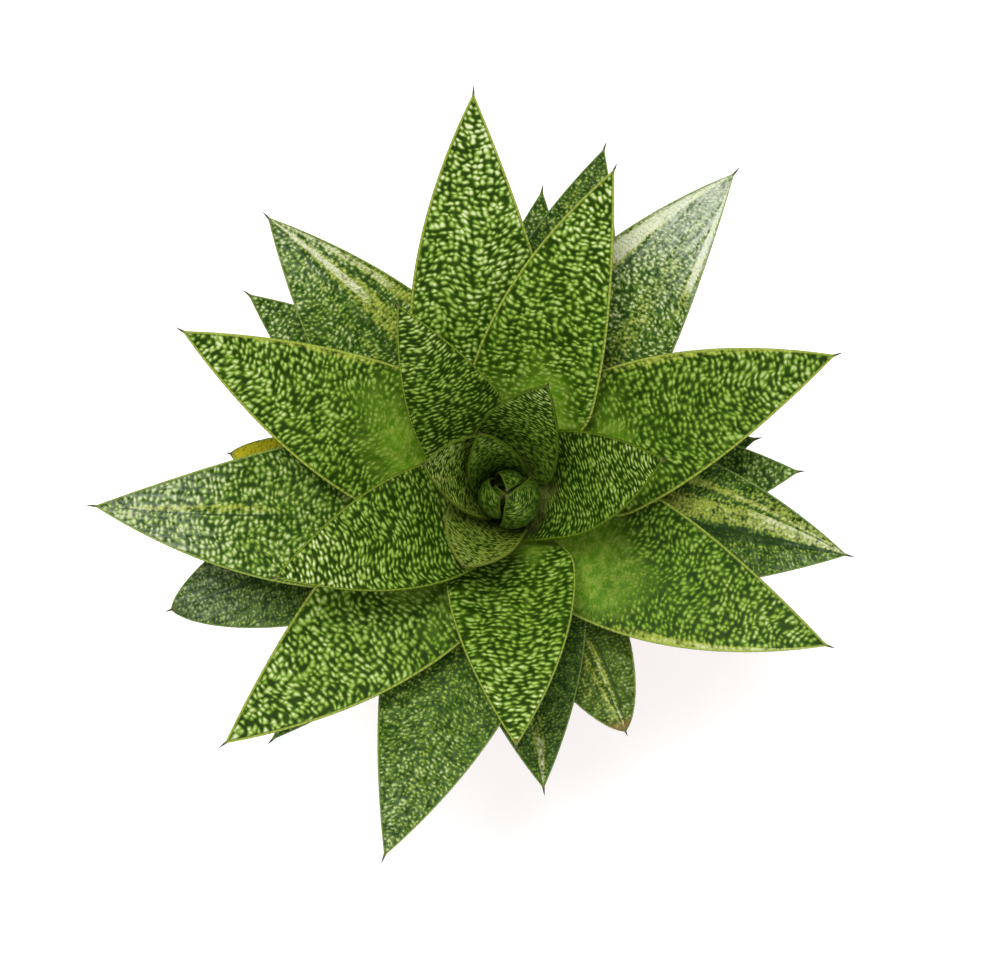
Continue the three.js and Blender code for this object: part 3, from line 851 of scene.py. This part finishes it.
def edged(f, leaf, skin):
    """The margin, dotted by its teeth, then the withered tip, then the spine."""
    dots = (f.part(leaf.place, "X") * (2 * math.pi / TOOTH_PITCH)).sine()
    skin = f.mix(leaf.edge.rise(1.1, 0.3) * (0.8 + 0.12 * dots), skin, f.ramp(leaf.tone, MARGIN))
    skin = f.mix(leaf.dry, skin, f.mix(leaf.fine, tint("6a4224"), tint("bb8a5c")))
    skin = f.mix(leaf.beyond.rise(-1.4, -0.2) * 0.8, skin, tint("5f6a38"))
    return f.mix(leaf.beyond.rise(-0.3, 0.3), skin, tint("4a4032"))


# %% Leaf finish
WART_HEIGHT = 0.24  # what the bump makes of a wart


def leaf_finish():
    """All the layers, from the ground up to the spine, and a slight bump for the warts."""
    f = Finish("leaf_skin")
    leaf = leaf_inputs(f)
    old = leaf.tone.rise(0.5, 0.8)
    inside, chance = warts(f, leaf, old)
    foot = foot_colour(f, leaf)
    skin = spotted_skin(f, leaf, foot, inside, chance, old)
    skin = banded(f, leaf, skin, foot, inside)
    skin = edged(f, leaf, skin)
    relief = inside.rise(-0.12, 0.35) * leaf.spotted * 0.85 + leaf.fine * 0.15
    f.shader.inputs["Specular IOR Level"].default_value = 0.08
    return f.done(Base_Color=skin, Roughness=0.42 + 0.16 * leaf.fine, Normal=f.bump(relief, WART_HEIGHT))


LEAF_SKIN = leaf_finish()
print(f"leaf finish: {len(LEAF_SKIN.node_tree.nodes)} nodes")

# %% Put the leaves in place
OLDEST = 7  # the leaves up to this number show at their tips alone
GROWN = 25  # those after this number are small and stand in the middle


def point_step(number):
    """Distance between the points of a leaf, from coarse for the oldest to fine for the youngest."""
    if number <= OLDEST:
        return 0.8
    return 0.6 if number <= GROWN else 0.45


worst = 0.0
faces = 0
for number, (leaf, mark) in enumerate(zip(LEAVES, MARKS), start=1):
    node = f"leaf_{number:02d}"
    mesh = leaf_mesh(number, leaf, mark, point_step(number))
    furled = number > len(LEAVES) - FURLED
    piece = put_in_scene(mesh.name, mesh, LEAF_SKIN, "bud" if furled else "leaf", node)
    corners = np.array([v[:] for v in piece.bound_box])
    lowest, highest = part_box(node)
    off = max(np.abs(corners.min(0) - lowest[:]).max(), np.abs(corners.max(0) - highest[:]).max())
    worst = max(worst, off / MM)
    faces += len(mesh.loops) - 2 * len(mesh.polygons)
print(f"leaves: {faces} triangles, boxes within {worst:.2f} mm of the plain solids")


# %% [markdown]
# ## Stem
#
# The stem is a stout peg, ringed by the scars that fallen leaves leave, dry and brown low down and green
# between the youngest leaves. It could be a plain cylinder, but from the side it shows between the leaves.
# So it is turned: a profile of radius and height is carried round the upright axis. The scars are grooves
# cut into the surface and never ridges on it, because the leaves' feet stand close around it.

# %% Turning
SOIL_TOP = 63.0
SOIL_MOUND = 3.0  # how much higher the soil is at the stem
CROWN_DEPTH = 8.0  # from the soil's edge down to where the root crown starts to taper
STEM_FOOT = 40.0  # height of the taper's end
STEM_FOOT_RADIUS = 3.0
CORE = 0.5  # radius where a profile starts or ends at the axis, closed by one point


def along_profile(corners, step):
    """The profile's corners with points between them, no further apart than the step."""
    corners = np.array(corners, dtype=float)
    stretches = []
    for first, second in zip(corners[:-1], corners[1:]):
        count = max(1, math.ceil(np.linalg.norm(second - first) / step))
        stretches.append(lerp(first, second, np.arange(count)[:, None] / count))
    return np.concatenate([*stretches, corners[-1:]])


def turned(profile, sides, inward=None):
    """A profile of radius and height carried once round the upright axis. inward takes the angle and the
    height of every point and says how far it is pushed towards the axis."""
    angle = np.arange(sides)[None, :] * 2 * math.pi / sides
    radius, height = profile[:, :1], profile[:, 1:]
    if inward is not None:
        radius = np.maximum(0.02, radius - inward(angle, height))
    grid = [radius * np.cos(angle), radius * np.sin(angle), height + 0 * angle]
    return np.stack(np.broadcast_arrays(*grid), -1)


# %% Stem
SCAR_PITCH = 2.6
SCAR_DEPTH = 0.55
FIBRE_DEPTH = 0.25  # of the grooves between the fibres


def stem_grid():
    """The root crown's taper, the straight stem and a dome that is a quarter of an ellipse."""
    dome = np.linspace(0, 0.5 * math.pi, 24)[1:-1]
    corners = [(STEM_FOOT_RADIUS * 0.2, STEM_FOOT), (STEM_FOOT_RADIUS, STEM_FOOT + 0.4),
               (STEM_RADIUS, SOIL_TOP - CROWN_DEPTH), (STEM_RADIUS, STEM_SHOULDER)]
    peak = STEM_TOP - STEM_SHOULDER
    corners += [(STEM_RADIUS * math.cos(a), STEM_SHOULDER + peak * math.sin(a)) for a in dome]
    corners += [(0.3, STEM_TOP)]

    def scars(angle, height):
        """Rings that climb as a spiral and break up into crescents, and fine fibres, all above the soil."""
        climb = height / SCAR_PITCH + angle / (2 * math.pi)
        ring = np.abs(np.sin(math.pi * climb)) ** 6
        crescent = 0.4 + 0.6 * np.abs(np.sin(2.5 * angle + 1.3 * np.floor(climb)))
        fibres = drift(angle * STEM_RADIUS, height, 0.9, 71)
        depth = SCAR_DEPTH * ring * crescent + FIBRE_DEPTH * fibres
        return depth * rise(height, SOIL_TOP - 4, SOIL_TOP)

    return turned(along_profile(corners, 0.45), 128, scars)


def stem_finish():
    """Dry fibres, and green from the height where the leaves stand close."""
    f = Finish("stem_skin")
    place = f.object_place()
    height = f.part(place, "Z")
    fibre = f.grain(place, 900.0, 4)
    patchy = f.grain(place, 260.0, 2)
    dry = f.mix(patchy.rise(0.3, 0.7), tint("6b5636"), tint("8d7a4c"))
    dry = f.mix(fibre.rise(0.45, 0.75) * 0.6, dry, tint("3e2f1f"))
    green = f.mix(fibre, tint("3a4a22"), tint("55652f"))
    skin = f.mix((height + 0.004 * (patchy - 0.5)).rise(0.086, 0.095), dry, green)
    return f.done(Base_Color=skin, Roughness=0.6 + 0.3 * fibre, Normal=f.bump(fibre, 0.25))


stem_mesh = tube_mesh("stem_peg", stem_grid())
put_in_scene("stem_peg", stem_mesh, stem_finish(), "stem", "stem")
print(f"stem: {len(stem_mesh.polygons)} faces, {STEM_TOP - SOIL_TOP:.0f} mm above the soil")

# %% [markdown]
# ## Pot
#
# The pot is thrown clay, unglazed: a tapered wall with a thicker collar under the rim. A cone with a Bevel
# would do for the outside, but a turned profile gives the inside and the collar in one. It is walked from
# the middle of the underside, up the outside, over the rim and down to the floor inside, with every corner
# rounded by an arc. Faint rings stay from the throwing. The drain holes are then drilled through the floor.

# %% Profile of the pot
POT_HEIGHT = 70.0
POT_RIM_RADIUS = 38.0
POT_BASE_RADIUS = 26.0
POT_WALL = 4.0
POT_FLOOR = 5.0
COLLAR_HEIGHT = 15.0
COLLAR_STEP = 2.2  # how far the collar stands out from the wall
COLLAR_FLARE = 0.8  # and how much wider it is at the rim
EDGE_ROUNDING = 1.0


def wall_radius(height):
    """Outer radius of the wall below the collar, which grows evenly with the height."""
    top = POT_RIM_RADIUS - COLLAR_STEP - COLLAR_FLARE
    return lerp(POT_BASE_RADIUS, top, height / (POT_HEIGHT - COLLAR_HEIGHT))


def rounded(corners, radii):
    """The corners of a profile between its two ends, each replaced by five points of a quadratic arc that
    starts and ends its radius away from the corner."""
    corners = np.array(corners, dtype=float)
    points = [corners[:1]]
    for before, corner, after, radius in zip(corners[:-2], corners[1:-1], corners[2:], radii):
        start = corner + (before - corner) * radius / np.linalg.norm(before - corner)
        end = corner + (after - corner) * radius / np.linalg.norm(after - corner)
        share = np.linspace(0, 1, 5)[:, None]
        points.append((1 - share) ** 2 * start + 2 * share * (1 - share) * corner + share ** 2 * end)
    return np.concatenate([*points, corners[-1:]])


# %% Turned pot
RING_PITCH = 1.9
RING_DEPTH = 0.1
WAVER_DEPTH = 0.2


def pot_grid():
    """The pot before it is drilled."""
    collar = POT_HEIGHT - COLLAR_HEIGHT
    bore_top, bore_floor = wall_radius(POT_HEIGHT) - POT_WALL, wall_radius(POT_FLOOR) - POT_WALL
    corners = [
        (CORE, 0), (POT_BASE_RADIUS, 0), (wall_radius(collar), collar),
        (wall_radius(collar) + COLLAR_STEP, collar + 0.6), (POT_RIM_RADIUS, POT_HEIGHT),
        (bore_top, POT_HEIGHT), (bore_floor, POT_FLOOR), (CORE, POT_FLOOR),
    ]
    e = EDGE_ROUNDING
    profile = rounded(corners, [e, 0.6 * e, 0.8 * e, 1.6 * e, 1.3 * e, 2 * e])

    def throwing(angle, height):
        """Rings from the fingers and a slow waver, both sine waves, and only where walls stand."""
        walls = rise(height, POT_FLOOR + 2, POT_FLOOR + 6) * rise(height, POT_HEIGHT - 0.5, POT_HEIGHT - 3)
        rings = 0.5 * RING_DEPTH * (1 + np.sin(2 * math.pi * height / RING_PITCH + 0.6 * np.sin(angle)))
        return walls * (rings + 0.5 * WAVER_DEPTH * (1 + np.sin(2 * angle + height / 17)))

    return turned(along_profile(profile, 0.8), 192, throwing)


# %% Drilled pot
DRAIN_HOLES = 3
DRAIN_RADIUS = 3.0
DRAIN_CIRCLE = 12.0  # radius of the circle that the holes' middles lie on
DRILL_REACH = 9.0  # how far a drill reaches above and below the pot's underside


def drill_mesh(name, x, y):
    """A closed cylinder that stands out on both sides of the floor."""
    rings = turned(np.array([(DRAIN_RADIUS, -DRILL_REACH), (DRAIN_RADIUS, DRILL_REACH)]), 40)
    return tube_mesh(name, rings + [x, y, 0])


def pot_mesh():
    """The turned pot with its drain holes cut by a Boolean modifier for each."""
    blank = bpy.data.objects.new("pot_blank", tube_mesh("pot_blank", pot_grid()))
    bpy.context.scene.collection.objects.link(blank)
    drills = []
    for i in range(DRAIN_HOLES):
        angle = 2 * math.pi * i / DRAIN_HOLES
        mesh = drill_mesh(f"drill_{i}", DRAIN_CIRCLE * math.cos(angle), DRAIN_CIRCLE * math.sin(angle))
        drill = bpy.data.objects.new(mesh.name, mesh)
        bpy.context.scene.collection.objects.link(drill)
        cut = blank.modifiers.new(drill.name, "BOOLEAN")
        cut.operation = "DIFFERENCE"
        cut.solver = "EXACT"
        cut.object = drill
        drills.append(drill)
    bpy.context.view_layer.update()
    mesh = bpy.data.meshes.new_from_object(blank.evaluated_get(bpy.context.evaluated_depsgraph_get()))
    for gone in [blank, *drills]:
        bpy.data.objects.remove(gone)
    mesh.name = "clay_pot"
    return mesh


# %% Clay finish
def clay_finish():
    """Cloudy clay with dark grit, and pale salts in patches near the rim and the foot."""
    f = Finish("fired_clay")
    place = f.object_place()
    height = f.part(place, "Z")
    cloud = f.grain(place, 45.0, 3)
    grit = f.grain(place, 1400.0, 3)
    patchy = f.grain(place, 110.0, 5)
    clay = f.mix(cloud.rise(0.3, 0.7), tint("b0613a"), tint("c27a50"))
    clay = f.mix(grit.rise(0.62, 0.75) * 0.35, clay, tint("7d3f26"))
    salts = patchy.rise(0.5, 0.72) * (height.rise(0.056, 0.069) + 0.5 * height.rise(0.02, 0.002))
    clay = f.mix(salts * 0.45, clay, tint("d9c3ad"))
    return f.done(Base_Color=clay, Roughness=0.75 + 0.2 * grit, Normal=f.bump(grit * 0.7 + cloud * 0.3, 0.12))


clay_pot = pot_mesh()
put_in_scene("clay_pot", clay_pot, clay_finish(), "clay", "pot")
print(f"pot: {len(clay_pot.polygons)} faces, {2 * POT_RIM_RADIUS:.0f} mm across, {POT_HEIGHT:.0f} mm high")

# %% [markdown]
# ## Soil
#
# Potting mix is dark crumbs with pale grains of pumice. A bump alone would look flat from the side, so the
# top is heaved into real lumps and strewn with loose pieces. The body of it is turned like the pot. Loose
# crumbs and grains are small twenty-sided stones, all of one kind joined in one piece: one stone is worked
# out once, then squeezed, turned and dropped on the surface by seeded draws.

# %% Soil body
def soil_height(x, y):
    """Height of the soil without its lumps, which grows in a straight slope from the wall to the stem."""
    bore = wall_radius(SOIL_TOP) - POT_WALL - GAP
    share = (bore - np.hypot(x, y)) / (bore - STEM_RADIUS - GAP)
    return SOIL_TOP + SOIL_MOUND * np.clip(share, 0, 1)


def lumps(x, y):
    """Heaves 6 mm, 2.4 mm and 1.1 mm apart, added up and lowered to lie about the soil's height."""
    return drift(x, y, 6.0, 3) + 0.8 * drift(x, y, 2.4, 4) + 0.5 * drift(x, y, 1.1, 5) - 1.3


def soil_grid():
    """A block that fits the pot with a gap round it, and a hole that fits the stem in the same way."""
    bottom = POT_FLOOR + GAP
    corner = 2 * EDGE_ROUNDING
    bore = [wall_radius(h) - POT_WALL - GAP for h in (bottom, bottom + corner, SOIL_TOP)]
    hole = STEM_RADIUS + GAP
    profile = along_profile([
        (CORE, bottom), (bore[0] - corner, bottom), (bore[1], bottom + corner), (bore[2], SOIL_TOP - 0.6),
        (bore[2] - 0.6, SOIL_TOP), (hole + 0.5, SOIL_TOP + SOIL_MOUND), (hole, SOIL_TOP + SOIL_MOUND - 0.8),
        (hole, SOIL_TOP - CROWN_DEPTH), (STEM_FOOT_RADIUS + GAP, STEM_FOOT - GAP), (CORE, STEM_FOOT - GAP),
    ], 0.8)
    grid = turned(profile, 220)
    x, y, z = grid[..., 0], grid[..., 1], grid[..., 2]
    r = np.hypot(x, y)
    top = rise(z, SOIL_TOP - 1.5, SOIL_TOP - 0.3)
    top = top * rise(r, hole + 0.1, hole + 2) * rise(r, bore[2], bore[2] - 2)
    grid[..., 2] += lumps(x, y) * top
    return grid


def soil_finish():
    """Brown crumbs, darker where it is damp."""
    f = Finish("potting_mix")
    place = f.object_place()
    crumb = f.grain(place, 700.0, 5)
    damp = f.grain(place, 90.0, 2)
    soil = f.mix(crumb.rise(0.3, 0.7), tint("1f1610"), tint("4a3a2a"))
    soil = f.mix(damp.rise(0.4, 0.7) * 0.5, soil, tint("2a1f16"))
    return f.done(Base_Color=soil, Roughness=0.85 + 0.15 * crumb, Normal=f.bump(crumb, 0.5))


SOIL_FINISH = soil_finish()
soil_mesh = tube_mesh("soil_body", soil_grid())
put_in_scene("soil_body", soil_mesh, SOIL_FINISH, "soil", "soil")
print(f"soil: {len(soil_mesh.polygons)} faces")


# %% Loose crumbs and grains
def stone():
    """The twelve corners of a regular twenty-sided solid of radius 1, and its faces. Neighbouring corners
    are 2 apart before they are scaled, and every three neighbours make a face, turned to point outwards."""
    golden = (1 + math.sqrt(5)) / 2
    base = [(0, a, b * golden) for a in (-1, 1) for b in (-1, 1)]
    corners = np.array([p[k:] + p[:k] for p in base for k in range(3)], dtype=float)
    apart = np.linalg.norm(corners[:, None] - corners[None], axis=2)
    near = (apart > 0) & (apart < 2.1)
    faces = [(i, j, k) for i in range(12) for j in range(i + 1, 12) for k in range(j + 1, 12)
             if near[i, j] and near[j, k] and near[i, k]]
    outward = [np.dot(corners[i], np.cross(corners[j], corners[k])) > 0 for i, j, k in faces]
    faces = [face if out else face[::-1] for face, out in zip(faces, outward)]
    return corners / math.hypot(1, golden), np.array(faces)


# %% Strewn stones
def turns(quaternions):
    """A rotation matrix for each row of four numbers, which is first made one unit long."""
    w, i, j, k = quaternions.T
    length = np.sqrt(w * w + i * i + j * j + k * k)
    w, i, j, k = w / length, i / length, j / length, k / length
    return np.stack([
        np.stack([1 - 2 * (j * j + k * k), 2 * (i * j - k * w), 2 * (i * k + j * w)], -1),
        np.stack([2 * (i * j + k * w), 1 - 2 * (i * i + k * k), 2 * (j * k - i * w)], -1),
        np.stack([2 * (i * k - j * w), 2 * (j * k + i * w), 1 - 2 * (i * i + j * j)], -1),
    ], 1)


def stones_mesh(name, count, smallest, largest, seed):
    """Stones dropped on the soil: each is squeezed along three axes, turned at random, and sunk into it by
    a part of its size. They lie evenly spread between stem and wall, and small ones are the most common:
    the size is the smallest times their ratio to the power of an even draw."""
    draw = np.random.default_rng(seed)
    corners, faces = stone()
    inner, outer = STEM_RADIUS + 3.0, wall_radius(SOIL_TOP) - POT_WALL - 2.5
    radius = np.sqrt(draw.uniform(inner ** 2, outer ** 2, count))
    angle = draw.uniform(0, 2 * math.pi, count)
    size = smallest * (largest / smallest) ** draw.random(count)
    squeeze = size[:, None] * draw.uniform(0.55, 1.0, (count, 3))
    turn = turns(draw.normal(size=(count, 4)))
    rough = corners[None] * draw.uniform(0.8, 1.1, (count, 12, 1)) * squeeze[:, None]
    x, y = radius * np.cos(angle), radius * np.sin(angle)
    z = soil_height(x, y) + lumps(x, y) + 0.35 * size
    points = np.einsum("nij,nvj->nvi", turn, rough) + np.stack([x, y, z], -1)[:, None]
    every = (faces[None] + 12 * np.arange(count)[:, None, None]).reshape(-1, 3)
    mesh = bpy.data.meshes.new(name)
    mesh.from_pydata((points.reshape(-1, 3) * MM).tolist(), [], every.tolist())
    return mesh


def pumice_finish():
    """Pale stone, darker in its pores."""
    f = Finish("pumice")
    pores = f.grain(f.object_place(), 1800.0, 4)
    pale = f.mix(pores.rise(0.35, 0.6), tint("8c8372"), tint("d6cfbf"))
    return f.done(Base_Color=pale, Roughness=0.9, Normal=f.bump(pores, 0.25))


crumbs = stones_mesh("loose_crumbs", count=1500, smallest=0.35, largest=1.1, seed=11)
put_in_scene("loose_crumbs", crumbs, SOIL_FINISH, "soil")
grains = stones_mesh("pumice_grains", count=150, smallest=0.6, largest=1.3, seed=12)
put_in_scene("pumice_grains", grains, pumice_finish(), "soil")
print(f"loose on the soil: {len(crumbs.polygons)} faces of crumbs, {len(grains.polygons)} of pumice")

# %% [markdown]
# ## Floor, and the sizes
#
# The floor is a plain pale sheet under the pot, wide enough to fill any view. A sheet lit by the lamps
# alone would be grey round the plant, so it glows a little, like a light table, and the shadows on it stay
# faint. Last, the dressed plant's box is set beside the construction's, to show that nothing has grown.

# %% Floor
FLOOR_HALF = 3000.0
FLOOR_LEVEL = -0.2  # just under the pot, which stands at 0
FLOOR_GLOW = 0.4

floor_mesh = bpy.data.meshes.new("pale_floor")
square = [(-1, -1), (1, -1), (1, 1), (-1, 1)]
corners = [(x * FLOOR_HALF * MM, y * FLOOR_HALF * MM, FLOOR_LEVEL * MM) for x, y in square]
floor_mesh.from_pydata(corners, [], [(0, 1, 2, 3)])
floor_finish = Finish("pale_paper")
floor_finish.shader.inputs["Emission Color"].default_value = (1, 1, 1, 1)
floor_finish.shader.inputs["Emission Strength"].default_value = FLOOR_GLOW
floor_mesh.materials.append(floor_finish.done(Base_Color=(0.9, 0.9, 0.9, 1), Roughness=0.9))
floor = bpy.data.objects.new("pale_floor", floor_mesh)
bpy.context.scene.collection.objects.link(floor)
floor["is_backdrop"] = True

# %% Sizes
visual_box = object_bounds()
for label, (low, high) in (("construction", construction_box), ("dressed", visual_box)):
    print(label, [round((b - a) / MM, 1) for a, b in zip(low, high)], "mm")
